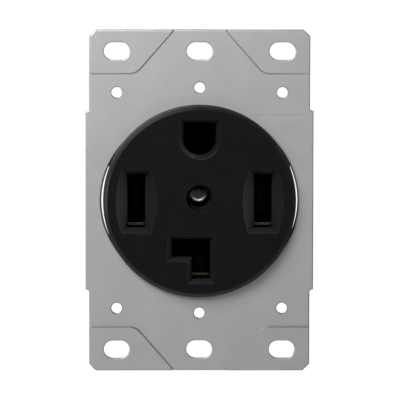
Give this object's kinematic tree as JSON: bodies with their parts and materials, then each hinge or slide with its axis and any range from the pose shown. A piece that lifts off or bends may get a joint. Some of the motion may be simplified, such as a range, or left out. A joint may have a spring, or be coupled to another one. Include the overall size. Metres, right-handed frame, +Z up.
{
  "type": "four prong dryer receptacle",
  "caption": "Flush dryer receptacle: round black face with slots for two flat blades, an L-shaped blade and a ground pin, on a slotted steel strap with box terminals behind.",
  "frame": {"origin": "middle of the four corner slots of the strap, on the plane where the strap's corner pads rest on the box", "axes": "+X to the right and +Z up as seen from the front, -Y out of the face towards the plug"},
  "size_m": [0.0636, 0.0331, 0.0952],
  "materials": {
    "galvanised_steel": "satin zinc coat",
    "face_plastic": "fine matte texture",
    "body_plastic": "smooth moulded",
    "contact_brass": "rolled sheet",
    "spring_steel": "tempered strip",
    "clip_bronze": "rolled strip",
    "plated_screw_steel": "zinc plated",
    "plated_lug": "tin plated",
    "brass_screw": "bright plated",
    "nickel_screw": "nickel plated",
    "green_screw": "green dyed coat"
  },
  "bodies": {
    "housing": {"mounting_strap": "galvanised_steel", "face_cover": "face_plastic", "rear_body": "body_plastic", "hot_x_contact": "contact_brass", "hot_y_contact": "contact_brass", "neutral_contact": "contact_brass", "ground_contact": "contact_brass", "hot_x_spring": "spring_steel", "hot_y_spring": "spring_steel", "neutral_spring": "spring_steel", "bonding_clip": "clip_bronze", "centre_screw": "plated_screw_steel", "centre_washer": "plated_screw_steel", "hot_x_lug": "plated_lug", "hot_y_lug": "plated_lug", "neutral_lug": "plated_lug", "ground_lug": "plated_lug"},
    "hot_x_clamp": {"hot_x_terminal_screw": "brass_screw", "hot_x_clamp_plate": "plated_screw_steel"},
    "hot_y_clamp": {"hot_y_terminal_screw": "brass_screw", "hot_y_clamp_plate": "plated_screw_steel"},
    "neutral_clamp": {"neutral_terminal_screw": "nickel_screw", "neutral_clamp_plate": "plated_screw_steel"},
    "ground_clamp": {"ground_terminal_screw": "green_screw", "ground_clamp_plate": "plated_screw_steel"}
  },
  "joints": [
    {"name": "hot_x_screw_travel", "type": "slide", "parent": "housing", "child": "hot_x_clamp", "axis": [1, 0, 0], "range_m": [0, 0.004]},
    {"name": "hot_y_screw_travel", "type": "slide", "parent": "housing", "child": "hot_y_clamp", "axis": [-1, 0, 0], "range_m": [0, 0.004]},
    {"name": "neutral_screw_travel", "type": "slide", "parent": "housing", "child": "neutral_clamp", "axis": [1, 0, 0], "range_m": [0, 0.004]},
    {"name": "ground_screw_travel", "type": "slide", "parent": "housing", "child": "ground_clamp", "axis": [-1, 0, 0], "range_m": [0, 0.004]}
  ]
}
